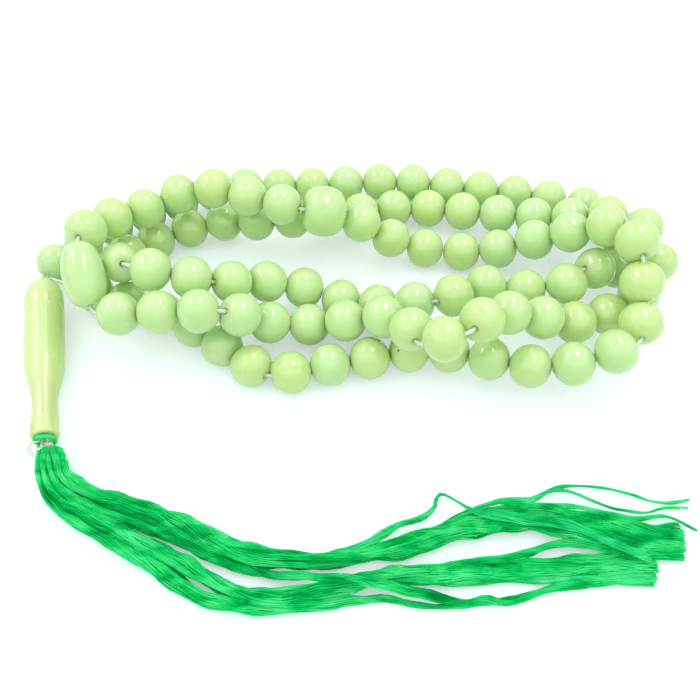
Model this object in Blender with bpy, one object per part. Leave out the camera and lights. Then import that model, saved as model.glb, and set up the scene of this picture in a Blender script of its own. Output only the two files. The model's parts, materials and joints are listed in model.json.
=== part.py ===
"""A misbaha, a string of prayer beads in three thirds with dividers, a marker, a leader bead and a tassel.

It lies loosely heaped on a table. Each third is a chain of short straight runs of beads, one turned
solid to a run, free to spin on the thread. The thread bends only where one run meets the next.
"""

import math

import bpy
import numpy as np
from mathutils import Matrix

MM = 0.001

# Beads
BEAD_DIAMETER = 8.0 * MM
BEAD_LENGTH = 7.2 * MM
BEAD_GAP = 0.25 * MM
BEAD_BORE = 1.3 * MM
BEAD_COLLAR_WALL = 0.45 * MM
BEAD_SIDES = 8

# Dividers, the two long beads between the thirds
DIVIDER_LENGTH = 12.0 * MM
DIVIDER_DIAMETER = 7.7 * MM
DIVIDER_END_WALL = 0.8 * MM
DIVIDER_SIDES = 12

# Marker, the flat bead after the seventh bead of the last third
MARKER_LENGTH = 8.0 * MM
MARKER_DIAMETER = 10.0 * MM
MARKER_END_WALL = 1.3 * MM

# Leader, the long bead that both ends of the thread pass through
LEADER_LENGTH = 34.4 * MM
LEADER_DIAMETER = 7.4 * MM
LEADER_NECK_DIAMETER = 4.6 * MM
LEADER_FOOT_DIAMETER = 5.1 * MM
LEADER_BORE = 2.4 * MM
LEADER_SHOULDER = 4.0 * MM
LEADER_BODY_LENGTH = 18.5 * MM
LEADER_TAPER_LENGTH = 9.0 * MM
LEADER_SIDES = 20

# Thread
THREAD_DIAMETER = 0.7 * MM
THREAD_SIDES = 8
THREAD_PAIR_GAP = 0.25 * MM
THREAD_LEAD_OUT = 2.6 * MM
THREAD_LEAD_IN = 1.7 * MM
THREAD_SLACK = 4.5 * MM
SHARPEST_BEND = math.radians(76.0)

# Tassel
COLLAR_CORD = 0.8 * MM
COLLAR_TURNS = 2
KNOT_DIAMETER = 3.0 * MM
KNOT_LENGTH = 1.5 * MM
HANK_WIDTH = 10.6 * MM
HANK_HEIGHT = 4.6 * MM
HANK_NECK_WIDTH = 5.2 * MM
HANK_NECK_HEIGHT = 4.4 * MM
HANK_NECK_LENGTH = 14.0 * MM
LOCK_HEIGHT = 3.6 * MM
LOCK_TIP_WIDTH = 4.2 * MM
LOCK_TIP_HEIGHT = 1.8 * MM

# Clearances
TOUCH = 0.3 * MM
PASSING = 0.3 * MM

# Where the thread stands at the start of each run, in millimetres from the middle of the heap, after
# the number of beads in that run
FIRST_THIRD = [
    (2, -64, 15, 3),
    (4, -54, 30, 3),
    (2, -26, 45, 4),
    (3, -12, 45, 4),
    (4, 11, 46, 5),
    (2, 41, 42, 4),
    (2, 55, 37, 4),
    (2, 57, 21, 4),
    (1, 44, 13.9, 10.9),
    (1, 38, 9, 8),
    (2, 31, 14, 8),
    (2, 17, 7, 10),
    (2, 3, 10, 4),
    (2, -13, 15, 7),
    (2, -27, 8, 14),
]
FIRST_DIVIDER = (-40, 8, 18.2)
SECOND_THIRD = [
    (1, -46, 21, 6.3),
    (2, -43, 27, 4),
    (2, -31, 34, 3),
    (4, -16, 31, 8),
    (4, 13, 39, 4),
    (2, 42, 31, 8),
    (1, 55, 26, 14),
    (1, 59, 19, 13),
    (2, 58, 12, 9),
    (3, 46, 4, 7),
    (1, 25, 0, 16),
    (1, 20, -8, 19),
    (1, 12, -7, 15),
    (3, 10, 1, 12),
    (2, -11, 6, 3),
    (3, -23, 1, 15.5),
]
SECOND_DIVIDER = (-46.9, 3.2, 12.6)
LAST_THIRD_START = [
    (1, -48.4, 14.4, 17.6),
    (2, -49, 21.0, 15.5),
    (1, -38, 32, 10),
    (3, -31, 34, 14),
]
MARKER = (-8.5, 26.8, 14)
LAST_THIRD_END = [
    (2, -0.5, 27.3, 12),
    (2, 11, 27, 4),
    (2, 27, 25, 4),
    (2, 40, 24.1, 10.2),
    (1, 52, 17.8, 20.0),
    (1, 53, 8, 18),
    (1, 53, 4, 13),
    (2, 51, -4, 12),
    (3, 36, -7, 8),
    (3, 15, 0, 5),
    (1, -8, -4, 4),
    (3, -16, -4, 4),
    (3, -35, 7.6, 4),
]
THREAD_END = (-59, 16, 4)

# Where the leader bead's mouth stands, and which way it lies, seen from above
LEADER_MOUTH = (-60.5 * MM, 15.5 * MM)
LEADER_HEADING = math.radians(-78.0)

# Middle lines of the tassel on the table, in millimetres. The hank's is counted from the knot.
HANK_LINE = [
    (0.0, 0.0),
    (1.6, -4.4),
    (8.5, -9.6),
    (17.0, -13.6),
    (25.5, -17.8),
    (34.0, -21.2),
    (39.0, -21.7),
    (42.7, -21.7),
]
# The locks' lines are counted from their roots, at the end of the hank, which they leave straight.
LOCK_LEAD = (3.0, 0.0)
LOCK_LINES = {
    "upper": [(10.0, 1.0), (17.0, 3.0), (23.0, 5.8), (31.0, 8.4), (38.0, 8.5), (46.0, 7.2), (56.0, 6.0), (66.0, 7.4)],
    "middle": [(14.0, 0.0), (26.0, 0.9), (38.0, 2.2), (50.0, 3.3), (64.0, 4.2)],
    "lower": [(12.0, -0.1), (22.0, -1.1), (29.0, -1.1), (37.0, 0.4), (46.0, 1.2), (55.0, 1.2), (63.0, 0.8)],
}


def unit(vector):
    return vector / np.linalg.norm(vector)


def material(name, colour, roughness, transmission=0.0):
    made = bpy.data.materials.new(name)
    made.use_nodes = True
    shader = made.node_tree.nodes["Principled BSDF"]
    shader.inputs["Base Color"].default_value = (*colour, 1.0)
    shader.inputs["Roughness"].default_value = roughness
    shader.inputs["Transmission Weight"].default_value = transmission
    return made


def add_solid(name, points, faces, look, place=None):
    """One closed mesh object. place is a 4 by 4 matrix, and points are in its own frame."""
    mesh = bpy.data.meshes.new(name)
    mesh.from_pydata([tuple(point) for point in points], [], faces)
    mesh.materials.append(look)
    mesh.polygons.foreach_set("use_smooth", [len(face) == 4 for face in faces])
    mesh.update()
    made = bpy.data.objects.new(name, mesh)
    bpy.context.scene.collection.objects.link(made)
    if place is not None:
        made.matrix_world = Matrix(place.tolist())
    return made


def turned(profile, bore, sides):
    """Points and faces of a round piece about its own X axis: an outer profile of (x, radius) and a bore."""
    section = list(profile) + [(profile[-1][0], bore / 2), (profile[0][0], bore / 2)]
    # The bore's flats, not its corners, clear the thread.
    grow = 1 / math.cos(math.pi / sides)
    points = []
    for place, (along, radius) in enumerate(section):
        radius = radius * grow if place >= len(profile) else radius
        for side in range(sides):
            angle = 2 * math.pi * side / sides
            points.append((along, radius * math.cos(angle), radius * math.sin(angle)))
    faces = []
    count = len(section)
    for ring in range(count):
        after = (ring + 1) % count
        for side in range(sides):
            turn = (side + 1) % sides
            faces.append((ring * sides + side, ring * sides + turn, after * sides + turn, after * sides + side))
    return points, faces


def bead_run_profile(beads):
    """Outer line of a straight run of beads, joined by short collars about the bore."""
    pitch = BEAD_LENGTH + BEAD_GAP
    collar = BEAD_BORE / 2 + BEAD_COLLAR_WALL
    half = BEAD_LENGTH / 2
    # Where the bead's oval meets the collar's radius
    end = half * math.sqrt(1 - (2 * collar / BEAD_DIAMETER) ** 2)
    shares = (-1.0, -0.82, -0.35, 0.35, 0.82, 1.0)
    line = []
    for bead in range(beads):
        middle = (bead - (beads - 1) / 2) * pitch
        for share in shares:
            along = share * end
            radius = BEAD_DIAMETER / 2 * math.sqrt(1 - (along / half) ** 2)
            line.append((middle + along, radius))
    return line


def oval_profile(length, diameter, end_radius, fullness, bands):
    """Outer line of a barrel bead: an oval whose ends are cut flat at end_radius."""
    line = []
    for step in range(bands + 1):
        angle = math.pi * (step / bands - 0.5)
        along = math.sin(angle)
        radius = max(math.cos(angle), 0.0) ** fullness
        line.append((length / 2 * along, end_radius + (diameter / 2 - end_radius) * radius))
    return line


def leader_profile():
    """Outer line of the leader bead, from its mouth at 0 to its foot."""
    full = LEADER_DIAMETER / 2
    neck = LEADER_NECK_DIAMETER / 2
    foot = LEADER_FOOT_DIAMETER / 2
    mouth = LEADER_BORE / 2 + 0.5 * MM
    line = []
    for step in range(5):
        angle = math.pi / 2 * step / 4
        line.append((LEADER_SHOULDER * (1 - math.cos(angle)), mouth + (full - mouth) * math.sin(angle)))
    neck_place = LEADER_BODY_LENGTH + LEADER_TAPER_LENGTH
    for step in range(6):
        share = step / 5
        ease = (1 + math.cos(math.pi * share)) / 2
        line.append((LEADER_BODY_LENGTH + LEADER_TAPER_LENGTH * share, neck + (full - neck) * ease))
    line.append(((neck_place + LEADER_LENGTH) / 2, neck + (foot - neck) * 0.4))
    line.append((LEADER_LENGTH - 0.6 * MM, foot))
    line.append((LEADER_LENGTH, foot - 0.4 * MM))
    return line


class Piece:
    """What the thread carries between two of its bends."""

    def __init__(self, name, beads, profile, end_profile, cluster):
        self.name = name
        self.beads = beads
        self.profile = profile
        # The outer line of its end bead, or of all of it where it is one bead
        self.end_profile = np.array(end_profile)
        # Round masses that stand for it while the heap settles: places along it, with their radii
        self.cluster = cluster
        self.spread = cluster[-1][0] - cluster[0][0] if beads else 0.0


def strand_pieces():
    """The pieces in their order on the thread, and the route's points, one more than the pieces."""
    pitch = BEAD_LENGTH + BEAD_GAP
    pieces = []
    route = []

    def add_third(label, runs, first):
        for number, (beads, *point) in enumerate(runs):
            places = [(bead - (beads - 1) / 2) * pitch for bead in range(beads)]
            cluster = [(place, BEAD_DIAMETER / 2) for place in places]
            name = f"{label}_beads_{first + number:02d}"
            pieces.append(Piece(name, beads, bead_run_profile(beads), bead_run_profile(1), cluster))
            route.append(point)

    def add_divider(name, point):
        reach = DIVIDER_LENGTH * 0.28
        radius = DIVIDER_DIAMETER / 2
        cluster = [(-reach, radius * 0.84), (0.0, radius), (reach, radius * 0.84)]
        end = BEAD_BORE / 2 + DIVIDER_END_WALL
        profile = oval_profile(DIVIDER_LENGTH, DIVIDER_DIAMETER, end, 0.9, 8)
        pieces.append(Piece(name, 0, profile, profile, cluster))
        route.append(point)

    add_third("first", FIRST_THIRD, 1)
    add_divider("divider_first", FIRST_DIVIDER)
    add_third("second", SECOND_THIRD, 1)
    add_divider("divider_second", SECOND_DIVIDER)
    add_third("last", LAST_THIRD_START, 1)
    profile = oval_profile(MARKER_LENGTH, MARKER_DIAMETER, BEAD_BORE / 2 + MARKER_END_WALL, 0.8, 6)
    pieces.append(Piece("seventh_marker", 0, profile, profile, [(0.0, MARKER_DIAMETER / 2)]))
    route.append(MARKER)
    add_third("last", LAST_THIRD_END, 1 + len(LAST_THIRD_START))
    route.append(THREAD_END)
    return pieces, np.array(route, float) * MM


def reach_at(piece, bend):
    """How far the middle of a piece's end bead stays from a bend of the thread, so that rims clear."""
    tilt = bend / 2
    support = (piece.end_profile @ np.array([math.cos(tilt), math.sin(tilt)])).max()
    return (support + PASSING / 2) / math.cos(tilt)


def leader_frame():
    """The leader bead's mouth and its direction towards the foot, as it lies on its body and its foot."""
    full = LEADER_DIAMETER / 2
    foot = LEADER_FOOT_DIAMETER / 2
    slope = math.asin((full - foot) / (LEADER_LENGTH - LEADER_BODY_LENGTH))
    heading = np.array([math.cos(LEADER_HEADING), math.sin(LEADER_HEADING), 0.0])
    along = heading * math.cos(slope) + np.array([0.0, 0.0, -math.sin(slope)])
    mouth_height = full * math.cos(slope) + LEADER_BODY_LENGTH * math.sin(slope)
    return np.array([*LEADER_MOUTH, mouth_height]), along


def thread_leads():
    """Where the thread's two ends come out of the leader bead's mouth."""
    mouth, along = leader_frame()
    side = unit(np.cross(along, np.array([0.0, 0.0, 1.0])))
    spread = (THREAD_DIAMETER + THREAD_PAIR_GAP) / 2
    # The first third leaves on the far side of the mouth, and further out, to make room for the other end.
    return mouth - along * THREAD_LEAD_OUT + side * spread, mouth - along * THREAD_LEAD_IN - side * spread


def settle(pieces, route):
    """Lets the strand find places near its route where no pieces meet and none is under the table."""
    bends = route.copy()
    count = len(pieces)
    owner = []
    offset = []
    radius = []
    for number, piece in enumerate(pieces):
        for place, size in piece.cluster:
            owner.append(number)
            offset.append(place)
            radius.append(size)
    # The bare thread after the last bead takes room too.
    for share in (0.0, 0.3, 0.6, 0.9):
        owner.append(count - 1)
        offset.append(pieces[-1].spread / 2 + BEAD_LENGTH / 2 + TOUCH + share * THREAD_SLACK)
        radius.append(THREAD_DIAMETER / 2)
    owner = np.array(owner)
    offset = np.array(offset)
    radius = np.array(radius)
    first, second = np.triu_indices(len(owner), 1)
    apart = owner[second] - owner[first] > 0
    first = first[apart]
    second = second[apart]
    neighbours = owner[second] - owner[first] == 1
    beads = np.array([piece.beads > 0 for piece in pieces])
    # Pieces that follow each other are held apart by their reach, except for beads further along.
    order = np.arange(len(owner))
    last_of = np.array([order[owner == number].max() for number in range(count)])
    first_of = np.array([order[owner == number].min() for number in range(count)])
    facing = neighbours & (first == last_of[owner[first]]) & (second == first_of[owner[second]])
    long_next = neighbours & ~(beads[owner[first]] & beads[owner[second]])
    kept = ~(facing | long_next)
    first = first[kept]
    second = second[kept]
    least = radius[first] + radius[second] + PASSING

    mouth, along = leader_frame()
    leader_places = np.linspace(3.0 * MM, LEADER_LENGTH - 2.6 * MM, 10)
    leader_points = mouth + along * leader_places[:, None]
    leader_line = np.array(leader_profile())
    leader_radii = np.interp(leader_places, leader_line[:, 0], leader_line[:, 1])
    leader_radii[0] = 2.9 * MM

    leads = thread_leads()
    halves = np.array([piece.spread / 2 for piece in pieces])
    rounds = 1200
    for turn in range(rounds):
        pull = 0.04 if turn < rounds * 0.6 else 0.0
        lines = np.diff(bends, axis=0)
        lengths = np.linalg.norm(lines, axis=1)
        heads = lines / lengths[:, None]
        heads = np.vstack([-along, heads, along])
        cosines = np.clip((heads[:-1] * heads[1:]).sum(axis=1), -1.0, 1.0)
        angles = np.minimum(np.arccos(cosines), math.radians(100.0))
        starts = np.array([reach_at(piece, angles[number]) for number, piece in enumerate(pieces)])
        ends = np.array([reach_at(piece, angles[number + 1]) for number, piece in enumerate(pieces)])
        ends[-1] += THREAD_SLACK
        wanted = starts + ends + 2 * halves
        # No bend is sharper than the thread takes between two beads that touch.
        spans = bends[2:] - bends[:-2]
        spread = np.linalg.norm(spans, axis=1)
        corner = wanted[:-1] ** 2 + wanted[1:] ** 2 + 2 * wanted[:-1] * wanted[1:] * math.cos(SHARPEST_BEND)
        wrong = np.maximum(np.sqrt(corner) - spread, 0.0)[:, None] * spans / spread[:, None] / 4
        bends[2:] += wrong
        bends[:-2] -= wrong
        bends += pull * (route - bends)
        # Each stretch of thread keeps its length.
        for parity in (0, 1):
            lines = np.diff(bends, axis=0)
            lengths = np.linalg.norm(lines, axis=1)
            wrong = (lengths - wanted)[:, None] * lines / lengths[:, None] / 2
            chosen = np.arange(count) % 2 == parity
            bends[:-1][chosen] += wrong[chosen]
            bends[1:][chosen] -= wrong[chosen]
        lines = np.diff(bends, axis=0)
        lengths = np.linalg.norm(lines, axis=1)
        share = (starts + halves)[owner] + offset
        share = share / lengths[owner]
        centres = bends[owner] + lines[owner] * share[:, None]
        moves = np.zeros_like(bends)
        weights = np.zeros(len(bends))

        def push(which, move):
            part = share[which][:, None]
            whole = part**2 + (1 - part) ** 2
            np.add.at(moves, owner[which], move * (1 - part) / whole)
            np.add.at(moves, owner[which] + 1, move * part / whole)
            np.add.at(weights, owner[which], 1.0)
            np.add.at(weights, owner[which] + 1, 1.0)

        lines = centres[second] - centres[first]
        lengths = np.linalg.norm(lines, axis=1)
        close = lengths < least
        wrong = ((least - lengths)[:, None] * lines / lengths[:, None] / 2)[close]
        push(first[close], -wrong)
        push(second[close], wrong)
        low = np.nonzero(centres[:, 2] < radius)[0]
        push(low, np.stack([0 * low, 0 * low, (radius - centres[:, 2])[low]], axis=1))
        lines = centres[:, None] - leader_points[None]
        lengths = np.linalg.norm(lines, axis=2)
        short = radius[:, None] + leader_radii[None] + PASSING - lengths
        worst = short.argmax(axis=1)
        rows = np.nonzero(short.max(axis=1) > 0)[0]
        chosen = worst[rows]
        step = short[rows, chosen][:, None] * lines[rows, chosen] / lengths[rows, chosen][:, None]
        push(rows, step)
        bends += 1.3 * moves / np.maximum(weights, 1.0)[:, None]
        bends[0], bends[-1] = leads
    return bends, starts


def frame_along(start, line):
    """Axes with X along the line and Z as near to up as it can be."""
    x_axis = unit(line)
    guide = np.array([0.0, 0.0, 1.0]) if abs(x_axis[2]) < 0.9 else np.array([0.0, 1.0, 0.0])
    y_axis = unit(np.cross(guide, x_axis))
    place = np.eye(4)
    place[:3, 0] = x_axis
    place[:3, 1] = y_axis
    place[:3, 2] = np.cross(x_axis, y_axis)
    place[:3, 3] = start
    return place


def swept_tube(path, diameter, sides):
    """A round tube along a polyline, mitred at its bends, closed at both ends."""
    radius = diameter / 2
    heads = [unit(line) for line in np.diff(path, axis=0)]
    across = unit(np.cross(heads[0], np.array([0.0, 0.0, 1.0])))
    points = []
    for number, point in enumerate(path):
        before = heads[max(number - 1, 0)]
        after = heads[min(number, len(heads) - 1)]
        plane = unit(before + after)
        over = np.cross(before, across)
        for side in range(sides):
            angle = 2 * math.pi * side / sides
            out = radius * (math.cos(angle) * across + math.sin(angle) * over)
            points.append(point + out - before * (out @ plane) / (before @ plane))
        # The frame turns with the tube.
        axis = np.cross(before, after)
        if np.linalg.norm(axis) > 1e-9:
            turn = math.atan2(np.linalg.norm(axis), before @ after)
            axis = unit(axis)
            cosine = math.cos(turn)
            turned_across = across * cosine + np.cross(axis, across) * math.sin(turn)
            across = turned_across + axis * (axis @ across) * (1 - cosine)
    faces = []
    for ring in range(len(path) - 1):
        for side in range(sides):
            turn = (side + 1) % sides
            low = ring * sides
            faces.append((low + side, low + turn, low + sides + turn, low + sides + side))
    faces.append(tuple(reversed(range(sides))))
    faces.append(tuple((len(path) - 1) * sides + side for side in range(sides)))
    return points, faces


def smooth_line(points, steps):
    """A smooth curve through the points, with the same number of steps between each two."""
    points = np.array(points, float)
    padded = np.vstack([2 * points[0] - points[1], points, 2 * points[-1] - points[-2]])
    line = []
    for number in range(len(points) - 1):
        a, b, c, d = padded[number : number + 4]
        for step in range(steps):
            t = step / steps
            square = (2 * a - 5 * b + 4 * c - d) * t**2
            cube = (3 * b - a - 3 * c + d) * t**3
            line.append(0.5 * (2 * b + (c - a) * t + square + cube))
    line.append(points[-1])
    return np.array(line)


def lying_bundle(line, widths, heights):
    """A bundle of yarn that lies on the table: flat under, rounded over, cut square at both ends."""
    arch = [(1.0, 0.0), (0.96, 0.45), (0.66, 0.85), (0.0, 1.0), (-0.66, 0.85), (-0.96, 0.45), (-1.0, 0.0)]
    sides = len(arch)
    points = []
    for number, place in enumerate(line):
        ahead = line[min(number + 1, len(line) - 1)] - line[max(number - 1, 0)]
        heading = ahead / np.linalg.norm(ahead)
        left = np.array([-heading[1], heading[0]])
        for side, up in arch:
            spot = place + left * side * widths[number] / 2
            points.append((spot[0], spot[1], up * heights[number]))
    faces = []
    for ring in range(len(line) - 1):
        for side in range(sides):
            turn = (side + 1) % sides
            low = ring * sides
            faces.append((low + side, low + turn, low + sides + turn, low + sides + side))
    faces.append(tuple(reversed(range(sides))))
    faces.append(tuple((len(line) - 1) * sides + side for side in range(sides)))
    return np.array(points), faces


def blended(line, root, end, reach):
    """Widths or heights along a line that go from root to end over the first reach of its length."""
    steps = np.linalg.norm(np.diff(line, axis=0), axis=1)
    along = np.concatenate([[0.0], np.cumsum(steps)])
    share = np.clip(along / reach, 0.0, 1.0)
    return root + (end - root) * share * share * (3 - 2 * share)


def build_strand(pieces, bends, starts, looks):
    """The thread's beads, each run with its origin in its middle and its X axis along the bore."""
    for number, piece in enumerate(pieces):
        head = unit(bends[number + 1] - bends[number])
        middle = bends[number] + head * (starts[number] + piece.spread / 2)
        points, faces = turned(piece.profile, BEAD_BORE, BEAD_SIDES if piece.beads else DIVIDER_SIDES)
        add_solid(piece.name, points, faces, looks["bead"], frame_along(middle, head))


def stand_on_origin():
    """Moves the whole part so that the middle of its box's underside is the origin."""
    solids = list(bpy.data.objects)
    bpy.context.view_layer.update()
    spots = np.array([made.matrix_world @ spot.co for made in solids for spot in made.data.vertices])
    low = spots.min(axis=0)
    high = spots.max(axis=0)
    for made in solids:
        made.location.x -= (low[0] + high[0]) / 2
        made.location.y -= (low[1] + high[1]) / 2
        made.location.z -= low[2]


def main():
    for old in list(bpy.data.objects):
        bpy.data.objects.remove(old)
    looks = {
        "bead": material("milky_bead_plastic", (0.72, 0.78, 0.45), 0.2, 0.2),
        "thread": material("nylon_thread", (0.8, 0.85, 0.8), 0.2, 0.5),
        "yarn": material("green_yarn", (0.0, 0.55, 0.1), 0.4, 0.0),
    }
    pieces, route = strand_pieces()
    bends, starts = settle(pieces, route)
    build_strand(pieces, bends, starts, looks)

    # Leader bead
    mouth, along = leader_frame()
    points, faces = turned(leader_profile(), LEADER_BORE, LEADER_SIDES)
    add_solid("leader", points, faces, looks["bead"], frame_along(mouth, along))

    # Collar of cord and knot under the leader's foot
    collar_start = LEADER_LENGTH + TOUCH
    bore = 2 * THREAD_DIAMETER + THREAD_PAIR_GAP + 2 * TOUCH
    line = []
    for turn in range(COLLAR_TURNS):
        for step in range(5):
            angle = math.pi * step / 4
            along_cord = COLLAR_CORD * (turn + 0.5 - 0.48 * math.cos(angle))
            line.append((along_cord, bore / 2 + COLLAR_CORD * (0.5 + 0.5 * math.sin(angle))))
    points, faces = turned(line, bore, 16)
    add_solid("tassel_collar", points, faces, looks["yarn"], frame_along(mouth + along * collar_start, along))
    knot_middle = collar_start + COLLAR_TURNS * COLLAR_CORD + TOUCH + KNOT_LENGTH / 2
    points, faces = turned(oval_profile(KNOT_LENGTH, KNOT_DIAMETER, bore / 2 + 0.2 * MM, 0.8, 6), bore, 12)
    add_solid("tie_knot", points, faces, looks["thread"], frame_along(mouth + along * knot_middle, along))

    # Thread: up through the leader, round through every bead, and back down
    lead_out, lead_in = thread_leads()
    tail = knot_middle + KNOT_LENGTH / 2
    path = [lead_out + along * (THREAD_LEAD_OUT + tail), *bends, lead_in + along * (THREAD_LEAD_IN + tail)]
    points, faces = swept_tube(path, THREAD_DIAMETER, THREAD_SIDES)
    add_solid("thread", points, faces, looks["thread"])

    # Tassel: the folded hank, then its locks
    hank_start = mouth + along * (knot_middle + KNOT_LENGTH / 2 + TOUCH)
    line = smooth_line(np.array(HANK_LINE) * MM, 4) + hank_start[:2]
    widths = blended(line, HANK_NECK_WIDTH, HANK_WIDTH, HANK_NECK_LENGTH)
    heights = blended(line, HANK_NECK_HEIGHT, HANK_HEIGHT, HANK_NECK_LENGTH)
    points, faces = lying_bundle(line, widths, heights)
    swing = np.eye(4)
    swing[:3, 3] = mouth + along * knot_middle
    add_solid("tassel_hank", points - swing[:3, 3], faces, looks["yarn"], swing)
    root_width = (HANK_WIDTH - 2 * TOUCH) / 3
    root = line[-1] + np.array([TOUCH, 0.0])
    for place, name in enumerate(("upper", "middle", "lower")):
        start = root + np.array([0.0, (1 - place) * (root_width + TOUCH)])
        line = smooth_line(np.array([(0.0, 0.0), LOCK_LEAD, *LOCK_LINES[name]]) * MM, 3) + start
        widths = blended(line, root_width, LOCK_TIP_WIDTH, 40.0 * MM)
        heights = blended(line, LOCK_HEIGHT, LOCK_TIP_HEIGHT, 60.0 * MM)
        points, faces = lying_bundle(line, widths, heights)
        hinge = np.eye(4)
        hinge[:3, 3] = (start[0], start[1], LOCK_HEIGHT)
        add_solid(f"tassel_lock_{name}", points - hinge[:3, 3], faces, looks["yarn"], hinge)
    stand_on_origin()


main()
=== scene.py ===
# %% [markdown]
# # A misbaha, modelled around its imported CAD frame
# A misbaha is a string of prayer beads: three times thirty-three beads, two long dividers between the
# thirds, a flat marker after the seventh bead of the last third, a long leader bead that gathers both
# ends of the thread, and a tassel. This one is moulded in a milky, pale green plastic that glows in the
# dark, and its tassel is a hank of green rayon yarn. It lies loosely heaped on a table.
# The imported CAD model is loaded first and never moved. It says where each bead sits and how it turns.

# %% Load the frame
import json
import math

import bpy
import numpy as np
from mathutils import Matrix, Vector


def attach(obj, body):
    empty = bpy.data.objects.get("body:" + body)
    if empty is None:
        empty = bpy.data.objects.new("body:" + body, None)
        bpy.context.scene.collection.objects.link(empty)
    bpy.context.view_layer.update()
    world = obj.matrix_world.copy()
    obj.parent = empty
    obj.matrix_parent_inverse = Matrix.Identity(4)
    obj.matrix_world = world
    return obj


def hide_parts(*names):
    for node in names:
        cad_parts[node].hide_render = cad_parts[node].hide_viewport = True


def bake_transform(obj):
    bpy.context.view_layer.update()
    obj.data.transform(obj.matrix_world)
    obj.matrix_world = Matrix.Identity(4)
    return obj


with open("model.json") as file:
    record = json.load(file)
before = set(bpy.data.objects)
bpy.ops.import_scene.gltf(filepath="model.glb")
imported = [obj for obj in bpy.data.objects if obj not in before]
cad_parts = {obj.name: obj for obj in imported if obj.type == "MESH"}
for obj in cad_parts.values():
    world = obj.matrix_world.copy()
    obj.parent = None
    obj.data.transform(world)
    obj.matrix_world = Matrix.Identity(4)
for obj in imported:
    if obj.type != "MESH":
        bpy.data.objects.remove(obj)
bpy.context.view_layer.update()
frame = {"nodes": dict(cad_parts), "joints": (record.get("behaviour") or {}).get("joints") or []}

MM = 0.001
JOINTS = {joint["name"]: joint for joint in frame["joints"]}
scene = bpy.context.scene

# %% [markdown]
# A few helpers come first. The first one clears the selection before it picks, because the loader
# leaves every CAD node selected. Colours are written as sRGB hex values, as a paint or dye card gives
# them, and one function turns them into the linear values a shader needs.

# %% Helpers for objects and colours


def pick(*objects):
    """Selects only these objects, the last one active."""
    if bpy.context.mode != "OBJECT":
        bpy.ops.object.mode_set(mode="OBJECT")
    bpy.ops.object.select_all(action="DESELECT")
    for one in objects:
        one.select_set(True)
        bpy.context.view_layer.objects.active = one


def linear(code):
    """An sRGB hex colour as linear red, green, blue and a full alpha."""
    parts = [int(code[place : place + 2], 16) / 255 for place in (1, 3, 5)]
    return (*[p / 12.92 if p <= 0.04045 else ((p + 0.055) / 1.055) ** 2.4 for p in parts], 1.0)


def named(name, material):
    """Names the active object and its mesh, and gives it this one material."""
    made = bpy.context.object
    made.name = name
    made.data.name = name
    made.data.materials.clear()
    made.data.materials.append(material)
    return made


def settle_place():
    """Puts the active object's place, turn and size into its mesh, so that it sits at the origin."""
    bpy.ops.object.transform_apply(location=True, rotation=True, scale=True)


# %% [markdown]
# The camera looks down on the heap from the front, close by, so that near beads look larger than far
# ones. It is a normal lens, a hand's breadth and a half from the beads.

# %% Camera
CAMERA_ELEVATION = math.radians(53.0)
CAMERA_DISTANCE = 149.6 * MM
CAMERA_AIM = Vector((0.45, 0.28, 4.0)) * MM
LENS_MM = 41.0

bpy.ops.object.camera_add()
camera = bpy.context.object
camera.name = "camera"
camera.data.lens = LENS_MM
camera.data.sensor_width = 36.0
camera.data.clip_start = 0.01
back = Vector((0.0, -math.cos(CAMERA_ELEVATION), math.sin(CAMERA_ELEVATION)))
camera.location = CAMERA_AIM + back * CAMERA_DISTANCE
camera.rotation_euler = (math.pi / 2 - CAMERA_ELEVATION, 0.0, 0.0)
scene.camera = camera
print("camera at, mm:", [round(1000 * part, 1) for part in camera.location])

# %% [markdown]
# Next the string's own order. Each short straight run of beads is one CAD body that spins about its
# bore, so its joint gives the middle of the run and the direction of the thread. The run's length, read
# from its node's mesh, gives the number of beads: they follow each other at one bead and a small gap.
# Where the thread bends between two runs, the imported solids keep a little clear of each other. Real
# beads slide up until they touch, so each run is drawn out a little towards such a bend. At the sharper
# bends the beads' sides then press into each other, by 0.3 mm at most.

# %% The order on the thread
BEAD_DIAMETER = 8.0 * MM
BEAD_LENGTH = 7.2 * MM
BEAD_GAP = 0.25 * MM
BEAD_PITCH = BEAD_LENGTH + BEAD_GAP
BEAD_BORE = 1.0 * MM
THREAD_DIAMETER = 0.7 * MM

ORDER = [f"first_beads_{number:02d}" for number in range(1, 16)]
ORDER += ["divider_first"]
ORDER += [f"second_beads_{number:02d}" for number in range(1, 17)]
ORDER += ["divider_second"]
ORDER += [f"last_beads_{number:02d}" for number in range(1, 5)]
ORDER += ["seventh_marker"]
ORDER += [f"last_beads_{number:02d}" for number in range(5, 18)]


def spot_and_heading(name):
    """The middle and the thread's direction at a node that spins about its bore."""
    joint = JOINTS[name + "_spin"]
    return Vector(joint["pos_m"]), Vector(joint["axis"]).normalized()


def reach_of(name):
    """How far a node goes along the thread, before and after its joint's place."""
    middle, heading = spot_and_heading(name)
    along = [(corner.co - middle).dot(heading) for corner in frame["nodes"][name].data.vertices]
    return min(along), max(along)


def bead_places(name, before=0.0, after=0.0):
    """The middles of the beads in a run, and their heading. The run may be drawn out at each end."""
    middle, heading = spot_and_heading(name)
    low, high = reach_of(name)
    count = round((high - low) / BEAD_PITCH)
    places = []
    for bead in range(count):
        share = bead / (count - 1) if count > 1 else 0.5
        along = BEAD_PITCH * (bead - (count - 1) / 2) - before * (1 - share) + after * share
        places.append(middle + heading * along)
    return places, heading


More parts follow.
